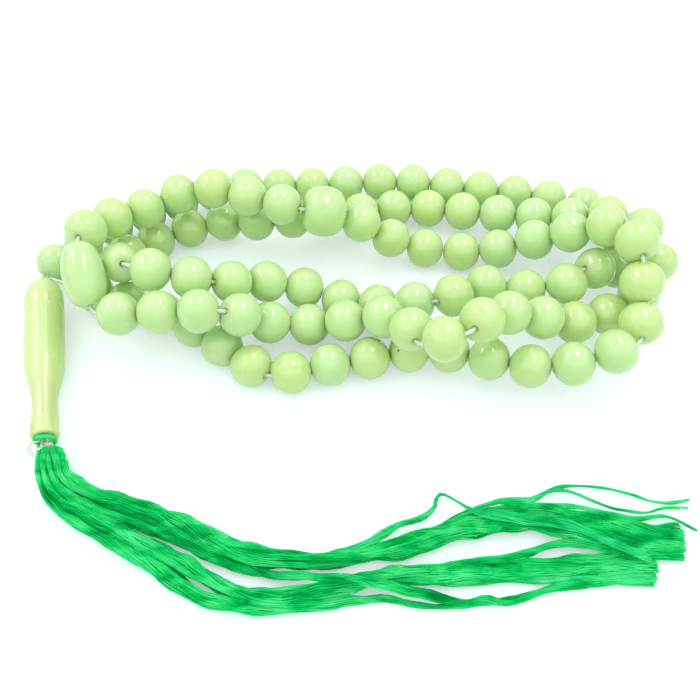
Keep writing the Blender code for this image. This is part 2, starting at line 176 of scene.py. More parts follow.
SLIDE = {name: [0.0, 0.0] for name in ORDER}
for first, second in zip(ORDER, ORDER[1:]):
    if "beads" in first and "beads" in second:
        spare = (bead_places(second)[0][0] - bead_places(first)[0][-1]).length - BEAD_PITCH
        SLIDE[first][1] = SLIDE[second][0] = max(0.5 * spare, 0.0)
print("widest slide towards a bend, mm:", round(1000 * max(max(both) for both in SLIDE.values()), 2))

runs = [name for name in ORDER if "beads" in name]
print("beads:", sum(len(bead_places(name)[0]) for name in runs), "in runs:", len(runs))

# %% [markdown]
# Thread, yarn and collar are all cords, and a cord is best made as a curve with a round bevel, which is
# then turned into a mesh. One helper rounds off the corners of its line, and another makes the tubes.

# %% Helpers for cords
SHARE_OF_SIDE = 0.45


def rounded_path(corners, reach, steps=6):
    """A polyline with each corner rounded off, from a reach before it to a reach after it."""
    line = [corners[0]]
    for before, corner, after in zip(corners, corners[1:], corners[2:]):
        near = min(reach, (corner - before).length * SHARE_OF_SIDE)
        far = min(reach, (after - corner).length * SHARE_OF_SIDE)
        start = corner + (before - corner).normalized() * near
        end = corner + (after - corner).normalized() * far
        for step in range(steps + 1):
            share = step / steps
            line.append(start * (1 - share) ** 2 + corner * 2 * share * (1 - share) + end * share**2)
    line.append(corners[-1])
    return line


def tubes(name, lines, radius, sides=6):
    """One mesh of round tubes along lines of points; each point may carry its own share of the radius."""
    curve = bpy.data.curves.new(name, "CURVE")
    curve.dimensions = "3D"
    curve.bevel_depth = radius
    curve.bevel_resolution = sides // 2 - 2
    curve.use_fill_caps = True
    for line in lines:
        spline = curve.splines.new("POLY")
        spline.points.add(len(line) - 1)
        for point, spot in zip(spline.points, line):
            point.co = (*spot[:3], 1.0)
            point.radius = spot[3] if len(spot) > 3 else 1.0
    made = bpy.data.objects.new(name, curve)
    scene.collection.objects.link(made)
    pick(made)
    bpy.ops.object.convert(target="MESH")
    made = bpy.context.object
    made.name = name
    made.data.name = name
    bpy.ops.object.shade_smooth_by_angle(angle=math.radians(60))
    return made


# %% [markdown]
# The thread is a clear nylon monofilament. Both of its ends come up through the leader bead from the
# knot, and between them it carries every bead. Where one run meets the next it turns, and as nylon is
# springy it turns in a small arc and not in a corner. Its corners are where neighbouring bores cross.

# %% Thread
ARC_REACH = 1.9 * MM
LEADER_LENGTH = reach_of("leader")[1]
THREAD_SPREAD = 0.475 * MM
THREAD_OUT = 2.6 * MM
THREAD_IN = 1.7 * MM
KNOT_REACH = LEADER_LENGTH + 3.6 * MM
STRAIGHT_ON = 0.9995


def crossing(first, second):
    """Where the thread turns between two neighbouring nodes."""
    a, along_a = spot_and_heading(first)
    b, along_b = spot_and_heading(second)
    end_a = a + along_a * reach_of(first)[1]
    end_b = b + along_b * reach_of(second)[0]
    apart = b - a
    tilt = along_a.dot(along_b)
    if tilt > STRAIGHT_ON:
        return (end_a + end_b) / 2
    forward = (apart.dot(along_a) - tilt * apart.dot(along_b)) / (1 - tilt * tilt)
    backward = (tilt * apart.dot(along_a) - apart.dot(along_b)) / (1 - tilt * tilt)
    return (a + along_a * forward + b + along_b * backward) / 2


mouth, leader_heading = spot_and_heading("leader")
leader_side = leader_heading.cross(Vector((0.0, 0.0, 1.0))).normalized()
lead_out = mouth - leader_heading * THREAD_OUT + leader_side * THREAD_SPREAD
lead_in = mouth - leader_heading * THREAD_IN - leader_side * THREAD_SPREAD
corners = [lead_out + leader_heading * (THREAD_OUT + KNOT_REACH), lead_out]
corners += [crossing(first, second) for first, second in zip(ORDER, ORDER[1:])]
corners += [lead_in, lead_in + leader_heading * (THREAD_IN + KNOT_REACH)]
thread_path = rounded_path(corners, ARC_REACH)

thread = tubes("thread_line", [thread_path], THREAD_DIAMETER / 2, sides=12)

# %% [markdown]
# The sky, the sheet and every finish are node trees. One short function adds a node, sets it up and
# joins it to those before it. A scale on Object coordinates counts the features in a metre.

# %% Node helper


def node(tree, kind, inputs=None, **settings):
    """Adds one shader node with its settings, and gives its inputs a value or a link."""
    made = tree.nodes.new("ShaderNode" + kind)
    for key, value in settings.items():
        setattr(made, key, value)
    for key, value in (inputs or {}).items():
        if isinstance(value, bpy.types.NodeSocket):
            tree.links.new(value, made.inputs[key])
        else:
            made.inputs[key].default_value = value
    return made


def blank_tree(owner):
    """The emptied node tree of a material or a world."""
    owner.use_nodes = True
    owner.node_tree.nodes.clear()
    return owner.node_tree


# %% [markdown]
# The string lies on a pale sheet under a soft white sky, as a small thing is shown on a light table. The
# sheet is white by its own colour and by a faint glow that only the camera and reflections see. That glow
# lights nothing, so the sheet keeps the object's shadows, and they stay pale.

# %% Sky and sheet
SHEET_COLOUR = linear("#E2EBF2")
SHEET_GLOW_COLOUR = linear("#F8FFFF")
SHEET_GLOW = 0.37
SHEET_SIZE = 6.0
SHEET_DROP = 0.02 * MM
SKY_STRENGTH = 1.0


def seen_directly(tree):
    """1 for rays from the camera, or by way of gloss or clear plastic, and 0 for light that falls."""
    path = node(tree, "LightPath").outputs
    direct = {0: path["Is Camera Ray"], 1: path["Is Glossy Ray"]}
    some = node(tree, "Math", direct, operation="MAXIMUM")
    either = {0: some.outputs[0], 1: path["Is Transmission Ray"]}
    return node(tree, "Math", either, operation="MAXIMUM").outputs[0]


scene.view_settings.view_transform = "Standard"

sky = bpy.data.worlds.new("soft_sky")
scene.world = sky
tree = blank_tree(sky)
white = node(tree, "Background", {"Color": (1.0, 1.0, 1.0, 1.0), "Strength": SKY_STRENGTH})
node(tree, "OutputWorld", {"Surface": white.outputs[0]})

sheet_look = bpy.data.materials.new("matt_white_table_sheet")
tree = blank_tree(sheet_look)
glow = node(tree, "Math", {0: seen_directly(tree), 1: SHEET_GLOW}, operation="MULTIPLY")
paper = node(tree, "BsdfDiffuse", {"Color": SHEET_COLOUR})
shine = node(tree, "Emission", {"Color": SHEET_GLOW_COLOUR, "Strength": glow.outputs[0]})
both = node(tree, "AddShader", {0: paper.outputs[0], 1: shine.outputs[0]})
node(tree, "OutputMaterial", {"Surface": both.outputs[0]})

pick()
bpy.ops.mesh.primitive_plane_add(size=SHEET_SIZE, location=(0.0, 0.0, -SHEET_DROP))
table_sheet = named("table_sheet", sheet_look)
settle_place()
print("sheet glow:", SHEET_GLOW, "sky:", SKY_STRENGTH)

# %% [markdown]
# Two long softboxes hang over it, left and right. Each is wide, so the shadows are faint, but only the
# bright tube in its middle shows in the gloss: that puts two small upright ovals on a bead. So each box
# is two lamps, one that lights things and a smaller one, just under it, that is seen in gloss only. A
# card seen in gloss only stands for the bright ceiling, and pales the upper half of every bead.

# %% Lamps
LAMP_HEIGHT = 0.5
TUBE_DROP = 0.02
# Each box's middle, its size and radiance, and its tube's size and radiance
LAMPS = {
    "left_softbox": ((-0.345, 0.16), (0.31, 0.75), 0.88, (0.17, 0.36), 8.5),
    "right_softbox": ((0.130, 0.16), (0.23, 0.75), 0.78, (0.14, 0.36), 9.5),
}
CARD_PLACE = (0.0, 0.575, 1.2)
CARD_SIZE = (6.0, 4.45)
CARD_STRENGTH = 1.4


def soft_lamp(name, place, size, radiance, in_gloss):
    """A flat lamp that faces down, and either lights things or only shows in their gloss."""
    bpy.ops.object.light_add(type="AREA", location=place)
    lamp = bpy.context.object
    lamp.name = name
    lamp.data.shape = "ELLIPSE" if name.endswith("tube") else "RECTANGLE"
    lamp.data.size, lamp.data.size_y = size
    share = math.pi / 4 if name.endswith("tube") else 1.0
    lamp.data.energy = radiance * math.pi * share * size[0] * size[1]
    lamp.visible_camera = False
    lamp.visible_glossy = in_gloss
    lamp.visible_diffuse = not in_gloss
    lamp.visible_transmission = not in_gloss


for name, (middle, size, light, tube, gloss) in LAMPS.items():
    soft_lamp(name, (*middle, LAMP_HEIGHT), size, light, False)
    soft_lamp(name + "_tube", (*middle, LAMP_HEIGHT - TUBE_DROP), tube, gloss, True)

soft_lamp("ceiling_in_gloss", CARD_PLACE, CARD_SIZE, CARD_STRENGTH, True)

# %% [markdown]
# The beads are injection moulded from a milky, translucent plastic with a pale green glow powder in it.
# Light goes a few millimetres into it before it comes out, which subsurface scattering gives: crevices
# between beads turn a deep yellow green and not grey. The powder is never mixed quite evenly, so the
# batch tone wanders slowly from bead to bead, faint flow clouds run through each one, and here and there
# a dark speck of burnt plastic is trapped. The polish is glossy, with the faint orange peel of a mould.

# %% Moulded glow plastic


def moulded_glow_plastic(name, colours, roughness, depth, stain=None):
    """Milky moulded plastic: tone by piece and place, flow clouds, specks, smudges and orange peel."""
    pale, deep, clouds = [linear(code) for code in colours]
    made = bpy.data.materials.new(name)
    tree = blank_tree(made)
    place = node(tree, "TexCoord").outputs["Object"]
    own = node(tree, "Attribute", attribute_name="tone").outputs["Fac"]
    # Batch tone: features of about 25 mm, so that it changes over a few beads
    batch = node(tree, "TexNoise", {"Vector": place, "Scale": 40.0, "Detail": 1.0})
    limits = {"From Min": 0.3, "From Max": 0.7, "To Min": -0.15, "To Max": 0.15}
    share = node(tree, "MapRange", {"Value": batch.outputs[0], **limits})
    tone = node(tree, "Math", {0: own, 1: share.outputs[0]}, operation="ADD", use_clamp=True)
    body = node(tree, "Mix", {"Factor": tone.outputs[0], "A": pale, "B": deep}, data_type="RGBA")
    # Flow clouds: soft streaks 1 to 3 mm wide, where the powder gathered in the mould
    flow = {"Vector": place, "Scale": 330.0, "Detail": 3.0, "Roughness": 0.5, "Distortion": 0.8}
    swirl = node(tree, "TexNoise", flow)
    limits = {"From Min": 0.35, "From Max": 0.7, "To Min": 0.0, "To Max": 0.30}
    cloud = node(tree, "MapRange", {"Value": swirl.outputs[0], **limits})
    layers = {"Factor": cloud.outputs[0], "A": body.outputs["Result"], "B": clouds}
    clouded = node(tree, "Mix", layers, data_type="RGBA")
    # Specks: a rare dark grain, half a millimetre wide at most
    grains = node(tree, "TexVoronoi", {"Vector": place, "Scale": 210.0})
    rare = node(tree, "SeparateColor", {"Color": grains.outputs["Color"]})
    chosen = node(tree, "Math", {0: rare.outputs[0], 1: 0.972}, operation="GREATER_THAN")
    limits = {"From Min": 0.04, "From Max": 0.075, "To Min": 0.85, "To Max": 0.0}
    near = node(tree, "MapRange", {"Value": grains.outputs["Distance"], **limits})
    speck = node(tree, "Math", {0: chosen.outputs[0], 1: near.outputs[0]}, operation="MULTIPLY")
    layers = {"Factor": speck.outputs[0], "A": clouded.outputs["Result"], "B": linear("#3A4420")}
    coloured = node(tree, "Mix", layers, data_type="RGBA")
    if stain:
        # A rubbed spot where dirt has caught, about 2 mm wide
        away = node(tree, "VectorMath", {0: place, 1: stain}, operation="DISTANCE")
        limits = {"From Min": 0.4 * MM, "From Max": 1.8 * MM, "To Min": 0.75, "To Max": 0.0}
        rubbed = node(tree, "MapRange", {"Value": away.outputs["Value"], **limits})
        patchy = node(tree, "Math", {0: rubbed.outputs[0], 1: swirl.outputs[0]}, operation="MULTIPLY")
        layers = {"Factor": patchy.outputs[0], "A": coloured.outputs["Result"], "B": linear("#9A6A2E")}
        coloured = node(tree, "Mix", layers, data_type="RGBA")
    # Handling leaves faint smudges, which dull the gloss a little in patches of a few millimetres
    handled = {"Vector": place, "Scale": 420.0, "Detail": 4.0, "Roughness": 0.6}
    smudge = node(tree, "TexNoise", handled)
    limits = {"From Min": 0.3, "From Max": 0.7, "To Min": roughness - 0.02, "To Max": roughness + 0.03}
    dull = node(tree, "MapRange", {"Value": smudge.outputs[0], **limits})
    # Orange peel: waves about a millimetre wide and a few thousandths of a millimetre high
    peel = node(tree, "TexNoise", {"Vector": place, "Scale": 900.0, "Detail": 2.0})
    waves = {"Height": peel.outputs[0], "Strength": 0.12, "Distance": 0.02 * MM}
    bump = node(tree, "Bump", waves)
    shader = node(
        tree,
        "BsdfPrincipled",
        {
            "Base Color": coloured.outputs["Result"],
            "Roughness": dull.outputs[0],
            "IOR": 1.50,
            "Subsurface Weight": 1.0,
            "Subsurface Radius": (1.0, 1.25, 0.45),
            "Subsurface Scale": depth,
            "Normal": bump.outputs[0],
        },
    )
    node(tree, "OutputMaterial", {"Surface": shader.outputs[0]})
    return made


BEAD_COLOURS = ("#BFE1A2", "#CBE18A", "#D0EAB6")
bead_plastic = moulded_glow_plastic("moulded_glow_plastic", BEAD_COLOURS, 0.105, 3.4 * MM)
print("bead plastic nodes:", len(bead_plastic.node_tree.nodes))

# %% [markdown]
# Every bead, divider and marker is a body of revolution with a bore through it. In the mould that is a
# turned cavity and a pin. It is made the same way here: a circle is added at the bore's rim, extruded
# and resized ring by ring down the outside, then back up through the bore, and its ends are merged.

# %% Turned shapes


def ringed(name, stations, sides):
    """A closed ring of stations, (radius, height) along Z, turned into a solid with a bore."""
    pick()
    radius, height = stations[0]
    bpy.ops.mesh.primitive_circle_add(vertices=sides, radius=radius, location=(0.0, 0.0, height))
    settle_place()
    bpy.ops.object.mode_set(mode="EDIT")
    bpy.ops.mesh.select_all(action="SELECT")
    for wide, high in [*stations[1:], stations[0]]:
        bpy.ops.mesh.extrude_region_move(TRANSFORM_OT_translate={"value": (0.0, 0.0, high - height)})
        grown = wide / radius
        bpy.ops.transform.resize(value=(grown, grown, 1.0), center_override=(0.0, 0.0, high))
        radius, height = wide, high
    bpy.ops.mesh.select_all(action="SELECT")
    bpy.ops.mesh.remove_doubles(threshold=2e-6)
    bpy.ops.mesh.normals_make_consistent(inside=False)
    bpy.ops.object.mode_set(mode="OBJECT")
    made = bpy.context.object
    made.name = name
    bpy.ops.object.shade_smooth_by_angle(angle=math.radians(50))
    return made


def bored(outside, bore_radius, lip=0.30 * MM):
    """Adds a softly rounded lip and the bore to an outside line that runs from top to bottom."""
    top, bottom = outside[0], outside[-1]
    turns = [math.pi / 2 * share for share in (0.35, 0.7, 1.0)]
    ring = list(outside)
    for turn in turns:
        wide = bore_radius + (bottom[0] - bore_radius) * (1 - math.sin(turn))
        ring.append((wide, bottom[1] + lip * (1 - math.cos(turn))))
    ring.append((bore_radius, bottom[1] + 4 * lip))
    ring.append((bore_radius, top[1] - 4 * lip))
    for turn in reversed(turns):
        wide = bore_radius + (top[0] - bore_radius) * (1 - math.sin(turn))
        ring.append((wide, top[1] - lip * (1 - math.cos(turn))))
    return ring


def laid(master, name, spot, heading, roll, tone, body, plastic=bead_plastic):
    """A copy of a turned master with its own mesh, laid at its place on the thread."""
    turn = heading.to_track_quat("Z", "Y").to_matrix().to_4x4()
    made = bpy.data.objects.new(name, master.data.copy())
    made.data.name = name
    made.data.transform(Matrix.Translation(spot) @ turn @ Matrix.Rotation(roll, 4, "Z"))
    scene.collection.objects.link(made)
    made.data.materials.clear()
    made.data.materials.append(plastic)
    own = made.data.attributes.new("tone", "FLOAT", "POINT")
    own.data.foreach_set("value", [tone] * len(made.data.vertices))
    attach(made, body)
    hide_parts(body)
    return made


# %% [markdown]
# A round bead is 8 mm across and 7.3 mm through its bore, a sphere only slightly pressed together, with
# a small round lip at each end. It is 0.1 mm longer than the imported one, so that neighbours nearly
# touch. One is made and copied to all ninety-nine places, and the copies that share a CAD body ride on
# it together. Their tones are drawn once from a seeded list, mostly pale.

# %% Beads
BEAD_RINGS = 14
BEAD_SIDES = 32
BEAD_EDGE_ANGLE = math.radians(75.5)
BEAD_FULLNESS = 0.94
BEAD_HALF_AXIS = 3.79 * MM
TONE_MEAN = 0.30
TONE_SPREAD = 0.14

outside = []
for ring in range(BEAD_RINGS + 1):
    angle = BEAD_EDGE_ANGLE * (1 - 2 * ring / BEAD_RINGS)
    wide = BEAD_DIAMETER / 2 * math.cos(angle) ** BEAD_FULLNESS
    outside.append((wide, BEAD_HALF_AXIS * math.sin(angle)))
bead_master = ringed("bead_master", bored(outside, BEAD_BORE / 2), BEAD_SIDES)
chance = np.random.RandomState(33)
counts = {"first": 0, "second": 0, "last": 0}
for name in ORDER:
    if "beads" not in name:
        continue
    third = name.split("_")[0]
    places, heading = bead_places(name, *SLIDE[name])
    for spot in places:
        counts[third] += 1
        roll = chance.uniform(0.0, 2 * math.pi)
        tone = float(np.clip(chance.normal(TONE_MEAN, TONE_SPREAD), 0.0, 1.0))
        laid(bead_master, f"{third}_bead_{counts[third]:02d}", spot, heading, roll, tone, name)
print("beads laid:", counts, "triangles each:", 2 * len(bead_master.data.polygons))
bpy.data.objects.remove(bead_master)

# %% [markdown]
# The two dividers are longer barrels, and the marker after the seventh bead is a flat wheel. All three
# come from the same mould maker's curve: an oval that is cut off at its bore's wall.

# %% Dividers and marker
BARREL_BANDS = 20
BARREL_SIDES = 40
BARREL_ROLL = 0.3
BARREL_TONE = 0.12
# Each one's length, diameter, end wall and the power that says how full its curve is
BARRELS = {
    "divider_first": (12.0 * MM, 7.7 * MM, 0.8 * MM, 0.9),
    "divider_second": (12.0 * MM, 7.7 * MM, 0.8 * MM, 0.9),
    "seventh_marker": (8.0 * MM, 10.0 * MM, 1.3 * MM, 0.8),
}


def oval(length, diameter, end_radius, fullness, bands):
    """The outside of a barrel from top to bottom."""
    line = []
    for step in range(bands + 1):
        angle = math.pi * (0.5 - step / bands)
        wide = end_radius + (diameter / 2 - end_radius) * max(math.cos(angle), 0.0) ** fullness
        line.append((wide, length / 2 * math.sin(angle)))
    return line


for name, (length, diameter, end_wall, fullness) in BARRELS.items():
    line = oval(length, diameter, BEAD_BORE / 2 + end_wall, fullness, BARREL_BANDS)
    master = ringed(name + "_master", bored(line, BEAD_BORE / 2), BARREL_SIDES)
    spot, heading = spot_and_heading(name)
    laid(master, name + "_moulded", spot, heading, BARREL_ROLL, BARREL_TONE, name)
    bpy.data.objects.remove(master)
    print(name, "ends along the thread, mm:", [round(1000 * end, 2) for end in reach_of(name)])

# %% [markdown]
# The leader bead is the long one that gathers both ends of the thread. It is a slim baton with a round
# shoulder at its mouth, a straight body, a waist and a slightly flared foot. Two fine rings are turned
# into it near the mouth. It rests on the sheet on its body and on its foot.

# %% Leader
LEADER_BORE = 2.4 * MM
LEADER_RADIUS = 3.7 * MM
MOUTH_RADIUS = 1.7 * MM
WAIST_RADIUS = 2.3 * MM
SHOULDER = 4.0 * MM
SHOULDER_STEPS = 6
BODY_START = 6.9 * MM
BODY_END = LEADER_LENGTH - 15.9 * MM
BODY_STEPS = 7
TAPER = 9.0 * MM
TAPER_STEPS = 10
LEADER_SIDES = 48
LEADER_TONE = 0.35
# Each fine ring is a shallow groove, drawn by the edge, the floor and the edge of its hollow
GROOVES = (3.3 * MM, 6.5 * MM)
GROOVE_LINE = ((-0.22, 0.0), (-0.09, 0.05), (0.0, 0.07), (0.09, 0.05), (0.22, 0.0))
# The foot's radius, and how far it is from the foot's end, in millimetres
FOOT_LINE = (
    (2.32, 5.4), (2.37, 3.8), (2.45, 2.2), (2.55, 1.0),
    (2.56, 0.6), (2.50, 0.3), (2.36, 0.1), (2.15, 0.0),
)
LEADER_COLOURS = ("#CEE8A6", "#D4E792", "#D8F0B8")


def leader_outline():
    """The leader's outside from its foot to its mouth, as (radius, height above the foot)."""
    rise = LEADER_RADIUS - MOUTH_RADIUS
    line = []
    for step in range(SHOULDER_STEPS + 1):
        angle = math.pi / 2 * step / SHOULDER_STEPS
        line.append((MOUTH_RADIUS + rise * math.sin(angle), SHOULDER * (1 - math.cos(angle))))
    for groove in GROOVES:
        for off, hollow in GROOVE_LINE:
            height = groove + off * MM
            short = max(0.0, 1 - height / SHOULDER)
            wide = MOUTH_RADIUS + rise * math.sqrt(max(0.0, 1 - short**2))
            line.append((wide - hollow * MM, height))
    line.sort(key=lambda station: station[1])
    for step in range(1, BODY_STEPS + 1):
        line.append((LEADER_RADIUS, BODY_START + (BODY_END - BODY_START) * step / BODY_STEPS))
    for step in range(1, TAPER_STEPS + 1):
        share = step / TAPER_STEPS
        fall = (1 + math.cos(math.pi * share)) / 2
        line.append((WAIST_RADIUS + (LEADER_RADIUS - WAIST_RADIUS) * fall, BODY_END + TAPER * share))
    for wide, left in FOOT_LINE:
        line.append((wide * MM, LEADER_LENGTH - left * MM))
    return [(wide, LEADER_LENGTH - height) for wide, height in line]


leader_master = ringed("leader_master", bored(leader_outline(), LEADER_BORE / 2), LEADER_SIDES)
foot_place = mouth + leader_heading * LEADER_LENGTH
stain = foot_place - leader_heading * 0.9 * MM + Vector((-2.2, -0.2, 1.2)) * MM
leader_plastic = moulded_glow_plastic("moulded_leader_plastic", LEADER_COLOURS, 0.18, 2.8 * MM, stain)
turned = (foot_place, -leader_heading, 0.0)
laid(leader_master, "leader_moulded", *turned, LEADER_TONE, "leader", leader_plastic)
bpy.data.objects.remove(leader_master)
print("leader foot at, mm:", [round(1000 * part, 1) for part in foot_place])

# %% [markdown]
# The thread's finish is clear nylon: it is drawn through a die, so it is very smooth, and shows as a
# bright glint wherever a gap between two beads lets light in. It is about 0.9 m long, and runs from
# the knot at the foot of the leader and back into that knot.

# %% Clear nylon
nylon = bpy.data.materials.new("drawn_clear_nylon")
tree = blank_tree(nylon)
place = node(tree, "TexCoord").outputs["Object"]
haze = node(tree, "TexNoise", {"Vector": place, "Scale": 700.0, "Detail": 2.0})
dull = node(tree, "MapRange", {"Value": haze.outputs[0], "To Min": 0.08, "To Max": 0.22})
layers = {"Factor": haze.outputs[0], "A": linear("#F6FFF6"), "B": linear("#E6FAE6")}
tint = node(tree, "Mix", layers, data_type="RGBA")
shader = node(
    tree,
    "BsdfPrincipled",
    {
        "Base Color": tint.outputs["Result"],
        "Roughness": dull.outputs[0],
        "IOR": 1.53,
        "Transmission Weight": 0.35,
        "Specular IOR Level": 0.8,
    },
)
node(tree, "OutputMaterial", {"Surface": shader.outputs[0]})

pick(thread)
named("thread_line", nylon)
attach(thread, "thread")
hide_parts("thread")
print("nylon nodes:", len(nylon.node_tree.nodes))

# %% [markdown]
# The tassel is rayon floss: long, almost untwisted shiny filaments, dyed a strong emerald green. Dye
# takes up unevenly, so every yarn has its own depth, and runs lighter and darker along its length.
# On top of that comes painted sheen: patches a few millimetres long are painted lighter and darker,
# where locks turn to the light together. The filaments themselves are finer than a tenth of a
# millimetre. They are drawn by a bump that is stretched along the yarn's own UV map, and the satin
# sheen comes from gloss tinted by the dye and from those painted patches.

# %% Dyed rayon floss


def dyed_floss(name, light, body, shade):
    """Shiny dyed floss: depth by yarn, streaks along it, painted sheen in patches, fine filaments as
    bump.
    """
    made = bpy.data.materials.new(name)
    tree = blank_tree(made)
    unrolled = node(tree, "TexCoord").outputs["UV"]
    place = node(tree, "TexCoord").outputs["Object"]
    own = node(tree, "NewGeometry").outputs["Random Per Island"]
    shift = node(tree, "Math", {0: own, 1: 7.0}, operation="MULTIPLY")
    moved = node(tree, "VectorMath", {0: unrolled, 1: shift.outputs[0]}, operation="ADD")
    # Streaks about 5 mm long and a third of a millimetre wide
    drawn = node(tree, "Mapping", {"Vector": moved.outputs[0], "Scale": (200.0, 3000.0, 1.0)})
    streaks = node(tree, "TexNoise", {"Vector": drawn.outputs[0], "Scale": 1.0, "Detail": 2.0})
    # Painted sheen: patches of about 2 by 6 mm painted lighter and darker, where locks of fibre turn to
    # the light together
    along_hank = node(tree, "Mapping", {"Vector": place, "Scale": (160.0, 430.0, 430.0)})
    sheen_patch_settings = {"Vector": along_hank.outputs[0], "Scale": 1.0, "Detail": 3.0, "Distortion": 0.6}
    painted_sheen_patches = node(tree, "TexNoise", sheen_patch_settings)
    summed = {0: streaks.outputs[0], 1: 0.35, 2: painted_sheen_patches.outputs[0]}
    streaks_and_sheen = node(tree, "Math", summed, operation="MULTIPLY_ADD")
    summed = {0: own, 1: 0.10, 2: streaks_and_sheen.outputs[0]}
    dye_and_sheen = node(tree, "Math", summed, operation="MULTIPLY_ADD")
    # The depth is the dye's uptake and the painted sheen together, so its light end is partly painted
    # sheen and its shade end partly painted shade
    limits = {"Value": dye_and_sheen.outputs[0], "From Min": 0.50, "From Max": 0.93}
    depth = node(tree, "MapRange", limits).outputs[0]
    dark = node(tree, "MapRange", {"Value": depth, "From Min": 0.0, "From Max": 0.5})
    bright = node(tree, "MapRange", {"Value": depth, "From Min": 0.5, "From Max": 1.0})
    layers = {"Factor": dark.outputs[0], "A": linear(shade), "B": linear(body)}
    low = node(tree, "Mix", layers, data_type="RGBA")
    layers = {"Factor": bright.outputs[0], "A": low.outputs["Result"], "B": linear(light)}
    dyed = node(tree, "Mix", layers, data_type="RGBA")
    # Single filaments, far narrower than the yarn
    combed = node(tree, "Mapping", {"Vector": moved.outputs[0], "Scale": (160.0, 9000.0, 1.0)})
    filaments = node(tree, "TexNoise", {"Vector": combed.outputs[0], "Scale": 1.0, "Detail": 1.0})
    ridges = {"Height": filaments.outputs[0], "Strength": 0.5, "Distance": 0.03 * MM}
    bump = node(tree, "Bump", ridges)
    shader = node(
        tree,
        "BsdfPrincipled",
        {
            "Base Color": dyed.outputs["Result"],
            "Roughness": 0.40,
            "Specular IOR Level": 0.35,
            "Specular Tint": linear("#30FF90"),
            "Sheen Weight": 0.12,
            "Sheen Roughness": 0.4,
            "Sheen Tint": linear("#30FF90"),
            "Normal": bump.outputs[0],
        },
    )
    # Fibres this fine let a good part of the light through, which softens the shade between them
    through = node(tree, "BsdfTranslucent", {"Color": dyed.outputs["Result"]})
    fibre = node(tree, "MixShader", {0: 0.2, 1: shader.outputs[0], 2: through.outputs[0]})
    node(tree, "OutputMaterial", {"Surface": fibre.outputs[0]})
    return made


floss = dyed_floss("dyed_rayon_floss", "#62FFAA", "#16EC7A", "#00A84A")
# A strand of one or two plies lets more light through, so its floss is painted paler for that light
paler_painted_floss = dyed_floss("thin_floss_painted_paler", "#6CFFB4", "#2CEE8C", "#0CC062")
print("floss nodes:", len(floss.node_tree.nodes))

# %% [markdown]
# The hank is folded over the thread at its knot, and falls into three locks, which split again into
# strands. Each strand is drawn as a line of stations: its middle, its width and its height there, in
# millimetres. The yarns lie in plies of sixteen, and a thicker strand has more plies.

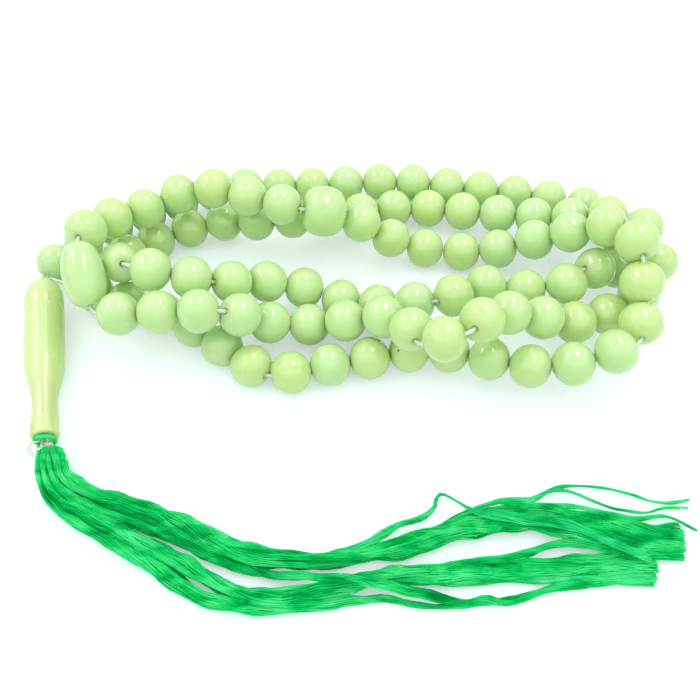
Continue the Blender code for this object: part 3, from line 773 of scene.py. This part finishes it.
# %% The strands' lines
STREAMS = {
    "upper_rope": (
        "tassel_lock_upper",
        [(-51.0, -20.0, 3.0, 2.1, 3.6), (-49.9, -21.4, 2.9, 2.4, 3.8), (-49.1, -22.9, 2.6, 2.4, 3.8),
         (-48.0, -25.1, 2.4, 2.5, 4.0), (-45.7, -26.9, 2.2, 2.8, 4.0), (-42.3, -28.7, 2.1, 3.1, 4.0),
         (-37.9, -30.2, 2.1, 3.1, 4.0), (-33.5, -31.7, 2.1, 3.3, 4.0), (-29.1, -33.4, 2.1, 3.8, 4.0),
         (-24.7, -35.5, 2.1, 4.3, 4.0), (-20.5, -37.4, 2.1, 4.2, 4.0), (-15.9, -39.0, 2.1, 3.8, 4.0),
         (-10.7, -39.9, 2.0, 3.3, 3.8), (-4.3, -40.1, 2.0, 3.0, 3.6), (0.5, -39.5, 1.9, 3.0, 3.6),
         (5.3, -38.5, 1.9, 3.4, 3.4), (8.5, -37.8, 1.8, 4.2, 3.4), (11.8, -36.8, 1.8, 4.2, 3.2),
         (15.9, -35.4, 1.7, 4.4, 3.2), (19.3, -34.3, 1.7, 5.0, 3.0), (22.7, -33.2, 1.6, 5.6, 3.0),
         (26.1, -32.7, 1.6, 5.9, 2.8), (30.2, -32.6, 1.5, 5.6, 2.8), (35.0, -33.5, 1.5, 6.1, 2.6),
         (39.8, -34.5, 1.4, 6.4, 2.4), (44.6, -35.2, 1.3, 6.7, 2.4), (49.5, -35.7, 1.2, 6.3, 2.2),
         (55.0, -35.8, 1.1, 4.8, 2.0)],
    ),
    "under_strip": (
        "tassel_lock_lower",
        [(-52.1, -19.8, 2.0, 1.3, 3.0), (-51.5, -21.3, 2.2, 1.5, 3.0), (-50.5, -24.1, 2.3, 1.7, 3.2),
         (-48.5, -27.2, 2.3, 1.9, 3.2), (-44.9, -29.7, 2.2, 2.0, 3.2), (-40.9, -31.7, 2.1, 1.9, 3.2),
         (-35.7, -33.4, 2.0, 1.9, 3.0), (-31.4, -35.1, 1.8, 1.9, 2.8), (-27.1, -36.7, 1.6, 2.0, 2.4),
         (-23.7, -38.2, 1.4, 2.0, 2.0), (-20.4, -39.6, 1.3, 2.0, 1.8), (-17.1, -40.9, 1.2, 1.9, 1.6),
         (-12.2, -42.2, 1.4, 1.5, 1.4), (-7.4, -42.8, 2.2, 1.4, 1.3), (-2.7, -43.3, 3.2, 1.4, 1.2),
         (1.2, -43.8, 3.6, 1.5, 1.2), (5.1, -44.6, 3.6, 1.7, 1.2), (8.2, -45.2, 3.2, 1.7, 1.2),
         (12.1, -45.7, 2.2, 1.7, 1.2), (16.0, -46.3, 1.4, 1.4, 1.2), (19.1, -46.5, 1.0, 1.2, 1.2),
         (22.0, -45.9, 1.0, 1.7, 1.4), (24.6, -46.5, 0.9, 1.3, 1.2), (29.4, -45.2, 0.9, 1.2, 1.2),
         (33.5, -44.1, 0.9, 1.2, 1.2), (38.3, -43.5, 1.0, 1.5, 1.2), (43.2, -42.7, 1.0, 1.9, 1.2),
         (49.0, -42.0, 1.0, 2.2, 1.2)],
    ),
    "middle_rope": (
        "tassel_lock_middle",
        [(-52.2, -20.1, 3.2, 1.8, 3.4), (-51.9, -21.7, 2.8, 1.9, 3.6), (-51.4, -24.6, 2.4, 2.0, 3.6),
         (-49.5, -27.9, 2.3, 2.3, 3.8), (-46.4, -30.6, 2.2, 2.6, 4.0), (-42.3, -32.9, 2.1, 2.9, 4.0),
         (-37.8, -35.1, 2.0, 3.0, 4.0), (-33.4, -37.4, 2.0, 3.2, 3.8), (-29.1, -39.2, 1.9, 3.3, 3.6),
         (-24.9, -41.3, 1.8, 3.3, 3.4), (-20.7, -43.6, 1.7, 3.0, 3.2), (-16.6, -45.5, 1.7, 2.9, 3.2),
         (-12.7, -46.3, 1.7, 3.3, 3.2), (-8.9, -45.8, 1.7, 3.3, 3.2), (-4.2, -44.9, 1.8, 3.0, 3.2),
         (0.5, -43.8, 1.8, 2.8, 3.2), (5.2, -42.8, 1.8, 3.0, 3.0), (9.9, -42.3, 1.7, 3.4, 2.8),
         (14.7, -42.2, 1.6, 3.8, 2.6), (19.5, -41.7, 1.5, 4.1, 2.6), (24.3, -41.7, 1.4, 3.8, 2.4),
         (29.1, -41.1, 1.3, 3.5, 2.2), (34.0, -40.8, 1.2, 3.6, 2.0), (38.8, -40.5, 1.1, 3.9, 2.0),
         (43.7, -40.2, 1.1, 4.2, 2.0), (49.5, -40.0, 1.1, 4.6, 2.0)],
    ),
    "lower_rope": (
        "tassel_lock_lower",
        [(-52.9, -20.2, 2.6, 1.0, 3.0), (-52.8, -22.1, 2.4, 1.3, 3.2), (-52.4, -25.0, 2.2, 1.4, 3.2),
         (-50.6, -28.4, 2.1, 1.7, 3.2), (-47.7, -31.2, 2.0, 2.0, 3.4), (-43.5, -33.9, 1.9, 2.3, 3.4),
         (-38.8, -36.6, 1.8, 2.6, 3.4), (-34.0, -39.1, 1.7, 2.7, 3.2), (-29.6, -41.7, 1.6, 2.8, 3.2),
         (-25.3, -44.5, 1.6, 2.6, 3.0), (-21.2, -46.4, 1.5, 2.5, 2.8), (-16.5, -47.3, 1.4, 2.3, 2.6),
         (-11.9, -47.5, 1.3, 2.2, 2.4), (-7.3, -47.2, 1.3, 2.1, 2.2), (-2.6, -46.7, 1.2, 1.9, 2.0),
         (2.0, -46.1, 1.1, 1.6, 1.8), (5.9, -45.9, 1.0, 1.3, 1.6), (8.2, -46.3, 0.9, 1.0, 1.4),
         (11.3, -46.9, 0.8, 0.8, 1.2), (15.2, -47.2, 0.8, 0.8, 1.2), (18.3, -46.9, 0.8, 0.8, 1.2),
         (22.2, -46.4, 0.8, 1.0, 1.2), (27.0, -45.8, 0.8, 1.2, 1.2), (31.1, -44.5, 0.8, 1.2, 1.2),
         (35.2, -43.4, 0.9, 1.4, 1.2), (40.0, -43.0, 1.0, 1.9, 1.4), (44.8, -42.3, 1.0, 2.5, 1.4),
         (48.7, -42.0, 1.0, 2.9, 1.4)],
    ),
    "rising_strand": (
        "tassel_lock_middle",
        [(13.0, -42.0, 2.6, 1.2, 1.2), (17.9, -40.9, 2.4, 1.4, 1.2), (22.7, -40.1, 2.0, 1.4, 1.2),
         (26.8, -39.5, 1.8, 1.4, 1.2), (30.2, -38.4, 1.6, 1.4, 1.2), (33.1, -37.3, 1.5, 1.4, 1.2),
         (36.9, -37.0, 1.5, 1.6, 1.2), (41.7, -37.6, 1.4, 1.9, 1.2), (47.2, -38.6, 1.3, 2.0, 1.2),
         (54.2, -38.9, 1.2, 2.0, 1.2)],
    ),
    "low_strand": (
        "tassel_lock_middle",
        [(14.6, -43.5, 1.2, 1.0, 1.2), (19.4, -43.5, 1.0, 1.0, 1.2), (24.2, -42.9, 0.9, 0.9, 1.2),
         (30.5, -43.1, 0.8, 0.9, 1.2), (36.9, -42.6, 0.8, 1.0, 1.2), (43.2, -43.1, 0.8, 1.2, 1.2),
         (48.6, -43.4, 0.8, 1.2, 1.2)],
    ),
    "top_loose_strand": (
        "tassel_lock_upper",
        [(20.2, -32.3, 3.0, 1.0, 1.0), (23.6, -30.7, 2.8, 1.2, 1.0), (27.5, -29.5, 2.2, 1.2, 1.0),
         (30.6, -29.3, 1.8, 1.0, 1.0), (33.4, -28.0, 1.4, 0.8, 0.9), (36.2, -26.8, 1.2, 0.8, 0.9),
         (39.7, -26.5, 1.0, 0.6, 0.8), (43.9, -26.8, 0.8, 0.6, 0.8), (48.0, -27.8, 0.7, 0.6, 0.8),
         (51.1, -29.1, 0.6, 0.6, 0.8), (54.4, -29.5, 0.6, 0.8, 0.8), (57.9, -28.9, 0.6, 0.8, 0.8)],
    ),
    "second_loose_strand": (
        "tassel_lock_upper",
        [(25.3, -30.4, 2.6, 0.8, 0.9), (30.5, -29.9, 1.8, 0.8, 0.9), (34.3, -27.6, 1.4, 0.8, 0.9),
         (36.9, -27.5, 1.2, 0.8, 0.9), (39.6, -28.4, 1.1, 0.6, 0.8), (42.4, -29.8, 1.0, 0.6, 0.8),
         (45.6, -30.9, 1.0, 0.6, 0.8), (49.7, -31.4, 0.9, 0.6, 0.8), (53.9, -30.3, 0.7, 0.6, 0.8),
         (57.2, -30.4, 0.6, 0.6, 0.8)],
    ),
    "third_loose_strand": (
        "tassel_lock_upper",
        [(28.6, -31.1, 2.4, 1.0, 0.9), (32.9, -30.6, 1.8, 1.0, 0.9), (37.2, -30.5, 1.6, 1.2, 0.9),
         (40.4, -31.0, 1.5, 1.2, 0.9), (43.9, -32.0, 1.4, 1.2, 0.9), (48.4, -32.7, 1.3, 1.2, 0.9),
         (53.3, -32.2, 1.0, 0.8, 0.8), (55.7, -33.4, 0.8, 0.6, 0.8), (57.7, -34.5, 0.6, 0.6, 0.8)],
    ),
    "hooked_strand": (
        "tassel_lock_upper",
        [(-1.9, -39.2, 3.2, 0.9, 0.9), (0.8, -38.7, 3.2, 1.1, 1.0), (3.7, -37.2, 2.4, 1.3, 1.0),
         (6.2, -35.4, 1.9, 1.5, 1.0), (8.3, -34.0, 1.8, 1.3, 1.0), (10.7, -33.3, 1.8, 1.1, 1.0),
         (12.8, -32.5, 2.0, 1.0, 0.9), (14.4, -31.1, 2.5, 0.8, 0.8), (14.8, -29.6, 2.8, 0.7, 0.8),
         (15.5, -28.8, 2.9, 0.4, 0.7), (16.8, -29.3, 2.9, 0.4, 0.7), (18.6, -30.7, 3.1, 0.4, 0.8),
         (20.8, -32.3, 3.4, 0.8, 0.8), (23.6, -32.9, 3.6, 1.6, 0.9), (28.1, -33.6, 3.5, 2.1, 0.9),
         (33.0, -34.0, 3.3, 2.1, 0.9), (37.4, -34.8, 3.1, 2.1, 0.9), (41.2, -36.6, 2.9, 2.1, 0.9),
         (44.9, -38.5, 2.7, 1.8, 0.9), (48.4, -40.2, 2.4, 1.7, 0.9)],
    ),
}
PLIES = {
    "upper_rope": 15,
    "middle_rope": 12,
    "lower_rope": 7,
    "under_strip": 4,
    "rising_strand": 3,
    "low_strand": 2,
    "top_loose_strand": 1,
    "second_loose_strand": 1,
    "third_loose_strand": 1,
    "hooked_strand": 2,
}
YARNS_IN_PLY = 16
YARN_RADIUS = 0.12 * MM
print("plies:", sum(PLIES.values()), "yarns:", YARNS_IN_PLY * sum(PLIES.values()))

# %% [markdown]
# The several hundred yarns are curves that follow their strand's line, since a hair system ends in
# curves anyway. They keep together in their plies, wander slowly round the strand, are crimped a
# little, and are cut off unevenly. Across a strand they are placed by angle and distance, with the
# golden angle of 2.4 radians between neighbours, which spreads them evenly.

# %% Yarns that follow a line
GOLDEN_TURN = 2.4
ROOT_LENGTH = 1.2 * MM
YARN_FILL = 0.42
# Plies: how far out they lie, how their angle sways and twists, and how they breathe in and out
PLY_REACH = 0.80
PLY_SWAY, PLY_SWAY_LENGTH = 0.45, 4.2 * MM
PLY_TWIST_LENGTH = 38 * MM
BREATH, BREATH_LENGTHS = 0.13, (1.8, 3.2)
LONE_SPREAD, PLY_SPREAD = 0.85, 1.15
# Waves and crimp: their height, and their shortest and longest length in millimetres
THICK_WAVE, THIN_WAVE = 0.09 * MM, 0.02 * MM
WAVE_LENGTHS = (0.7, 1.3)
YARN_TWIST_LENGTH = 9 * MM
CRIMP, CRIMP_LENGTHS = 0.06 * MM, (0.7, 1.4)
LONGEST_SHORTFALL = 2.6 * MM


def evenly_along(stations, count):
    """Evenly spaced rows on a smooth line through the stations. Every column is smoothed alike."""
    table = np.array(stations, float) * MM
    place = np.concatenate([[0.0], np.cumsum(np.linalg.norm(np.diff(table[:, :3], axis=0), axis=1))])
    slope = np.gradient(table, place, axis=0)
    wanted = np.linspace(0.0, place[-1], count)
    index = np.clip(np.searchsorted(place, wanted, side="right") - 1, 0, len(place) - 2)
    span = (place[index + 1] - place[index])[:, None]
    share = (wanted[:, None] - place[index][:, None]) / span
    smooth = (1 + 2 * share) * (1 - share) ** 2 * table[index]
    smooth += share * (1 - share) ** 2 * span * slope[index]
    smooth += share**2 * (3 - 2 * share) * table[index + 1]
    smooth += share**2 * (share - 1) * span * slope[index + 1]
    return smooth, wanted


def swinging(place, length, chance):
    """A sine along the line, from a random start. Its wavelength is 2 pi times the length."""
    return np.sin(place / length + chance.uniform(0, 6.3))


def yarns_along(stations, plies, points, chance, rounded_root):
    """Lines of (x, y, z, radius share) for the yarns of one strand."""
    rows, place = evenly_along(stations, points)
    middle, width, height = rows[:, :3], rows[:, 3], rows[:, 4]
    if rounded_root:
        grown = np.sqrt(np.clip(1 - (1 - place / ROOT_LENGTH) ** 2, 0.10, 1.0))
        grown[place > ROOT_LENGTH] = 1.0
        width, height = width * grown, height * grown
    ahead = np.gradient(middle, place, axis=0)
    ahead[:, 2] = 0.0
    ahead /= np.linalg.norm(ahead, axis=1)[:, None]
    side = np.stack([-ahead[:, 1], ahead[:, 0], np.zeros(points)], axis=1)
    radius = np.minimum(YARN_RADIUS, YARN_FILL * np.sqrt(width * height / (YARNS_IN_PLY * plies)))
    # The strand swells and thins a little, in two waves of unlike length
    lumps = 1 + 0.07 * swinging(place, 1.9 * MM, chance) + 0.05 * np.sin(place / (1.1 * MM))
    width, height = width * lumps, height * lumps
    lines = []
    for ply in range(plies):
        base = GOLDEN_TURN * ply + chance.uniform(0.0, 0.8)
        out = PLY_REACH * math.sqrt((ply + 0.6) / plies) if plies > 1 else 0.0
        sway = PLY_SWAY * swinging(place, PLY_SWAY_LENGTH, chance)
        turn = base + (sway + place / PLY_TWIST_LENGTH)
        breathe = BREATH * swinging(place, chance.uniform(*BREATH_LENGTHS) * MM, chance)
        wave = THICK_WAVE if plies > 3 else THIN_WAVE
        wave = wave * swinging(place, chance.uniform(*WAVE_LENGTHS) * MM, chance)
        spread = LONE_SPREAD if plies == 1 else PLY_SPREAD / math.sqrt(plies)
        for yarn in range(YARNS_IN_PLY):
            near = GOLDEN_TURN * yarn + place / YARN_TWIST_LENGTH + chance.uniform(0, 0.5)
            reach = spread * math.sqrt((yarn + 0.5) / YARNS_IN_PLY)
            across = (out + breathe) * np.cos(turn) + reach * np.cos(near)
            upward = (out + breathe) * np.sin(turn) + reach * np.sin(near)
            size = np.maximum(1.0, np.hypot(across, upward))
            crimp = CRIMP * swinging(place, chance.uniform(*CRIMP_LENGTHS) * MM, chance)
            spot = middle + side * (across / size * (width / 2 - radius) + crimp + wave)[:, None]
            spot[:, 2] += upward / size * (height / 2 - radius) + 0.6 * wave
            spot[:, 2] = np.maximum(spot[:, 2], radius)
            keep = 1.0 - chance.uniform(0.0, 1.0) ** 2 * LONGEST_SHORTFALL / place[-1]
            sampled = np.linspace(0.0, place[-1] * keep, points)
            columns = [np.interp(sampled, place, column) for column in (*spot.T, radius / YARN_RADIUS)]
            lines.append(np.stack(columns, axis=1))
    return lines


def unroll(piece, length, girth):
    """Turns a tube's UV map from shares of its length and girth into metres."""
    layer = piece.data.uv_layers.active.data
    values = np.empty(2 * len(layer))
    layer.foreach_get("uv", values)
    values = values.reshape(-1, 2) * (length, girth)
    layer.foreach_set("uv", values.ravel())


# %% [markdown]
# A strand that starts at the knot crosses the hinge where its lock can be lifted. It rides on no body,
# and stays where it is drawn. A loose strand starts beyond the hinge, and rides on its lock alone. All
# of them together stand for the four plain CAD bundles.

# %% The tassel's strands
YARN_STEP = 1.2 * MM
LOCKS = ("lock_upper", "lock_middle", "lock_lower")
HINGE = {"tassel_" + lock: JOINTS[lock + "_lift"]["pos_m"] for lock in LOCKS}

chance = np.random.RandomState(99)
for name, (lock, stations) in STREAMS.items():
    x, y, z = HINGE[lock]
    crosses = stations[0][0] * MM < x
    length = sum(math.dist(a[:3], b[:3]) for a, b in zip(stations, stations[1:])) * MM
    lines = yarns_along(stations, PLIES[name], round(length / YARN_STEP) + 2, chance, crosses)
    strand = tubes(name, lines, YARN_RADIUS, sides=4)
    unroll(strand, length, 2 * math.pi * YARN_RADIUS)
    # Strands of fewer than three plies take the floss painted paler for the light through them
    named(name, paler_painted_floss if PLIES[name] < 3 else floss)
    if crosses:
        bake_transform(strand)
        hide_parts("tassel_hank", lock)
    else:
        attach(strand, lock)
        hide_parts(lock)
    print(name, "mm:", round(1000 * length, 1), "yarns:", len(lines), "faces:", len(strand.data.polygons))

# %% [markdown]
# At the foot of the leader the thread is tied: a short coil of the same floss is wound round both legs
# to stop the leader, a nylon knot holds it, and the two thread ends curl out to the left as fine loops.
# A coil is a cord, so it is a curve with a round bevel, turned a little more than once.

# %% Collar, knot and thread ends
TIE_STEPS = 60
COIL_START, COIL_SWEEP = math.radians(-70), math.radians(395)
# Gaps past the foot, rises along it, and half widths and heights, in millimetres
COIL_GAP, COIL_RISE = 0.35, 0.75
COIL_HALVES = (1.7, 1.6)
KNOT_GAP, KNOT_RISE = 2.15, 0.55
KNOT_HALVES = (1.15, 1.0)
KNOT_TURNS = 1.5
COIL_CORD = 0.40 * MM
COIL_LENGTH = 11.0 * MM
COIL_GIRTH = 2.5 * MM
KNOT_CORD = 0.42 * MM
END_THREAD = 0.12 * MM
# The two cut ends are thinner than the thread, split and flattened by the pull of the knot
END_LINES = (
    ((-53.4, -19.0, 3.3), (-54.4, -19.0, 3.3), (-55.2, -19.3, 3.1),
     (-55.55, -20.0, 2.5), (-55.4, -20.6, 1.7), (-54.7, -20.95, 1.2)),
    ((-53.5, -19.3, 3.6), (-54.5, -19.5, 3.6), (-54.95, -19.9, 3.3),
     (-54.9, -20.5, 2.6), (-54.5, -20.9, 2.2), (-54.0, -21.1, 2.0)),
)

foot_up = leader_side.cross(leader_heading).normalized()


def below_foot(along, sideways, upward):
    """A place given past the leader's foot, to its side and upwards, in millimetres."""
    along += LEADER_LENGTH / MM
    return mouth + (leader_heading * along + leader_side * sideways + foot_up * upward) * MM


def tied(name, lines, radius, sides, material, node_name):
    """A small tied piece of cord, which stays with the thread."""
    made = tubes(name, lines, radius, sides=sides)
    named(name, material)
    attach(made, "thread")
    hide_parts(node_name)
    return made


coil = []
for step in range(TIE_STEPS + 1):
    share = step / TIE_STEPS
    turn = COIL_START + COIL_SWEEP * share
    wide, high = COIL_HALVES
    coil.append(below_foot(COIL_GAP + COIL_RISE * share, wide * math.cos(turn), high * math.sin(turn)))
collar = tied("wound_collar", [coil], COIL_CORD, 12, floss, "tassel_collar")
unroll(collar, COIL_LENGTH, COIL_GIRTH)

loop = []
for step in range(TIE_STEPS + 1):
    turn = 2 * math.pi * step / TIE_STEPS
    wide, high = [half * (0.82 + 0.28 * math.cos(KNOT_TURNS * turn)) for half in KNOT_HALVES]
    along = KNOT_GAP + KNOT_RISE * math.sin(KNOT_TURNS * turn)
    loop.append(below_foot(along, wide * math.cos(turn), high * math.sin(turn)))
knot = tied("nylon_knot", [loop], KNOT_CORD, 12, nylon, "tie_knot")

ends = [rounded_path([Vector(spot) * MM for spot in line], 0.4 * MM, 4) for line in END_LINES]
tied("thread_ends", ends, END_THREAD, 8, nylon, "tie_knot")
print("collar and knot faces:", len(collar.data.polygons), len(knot.data.polygons))
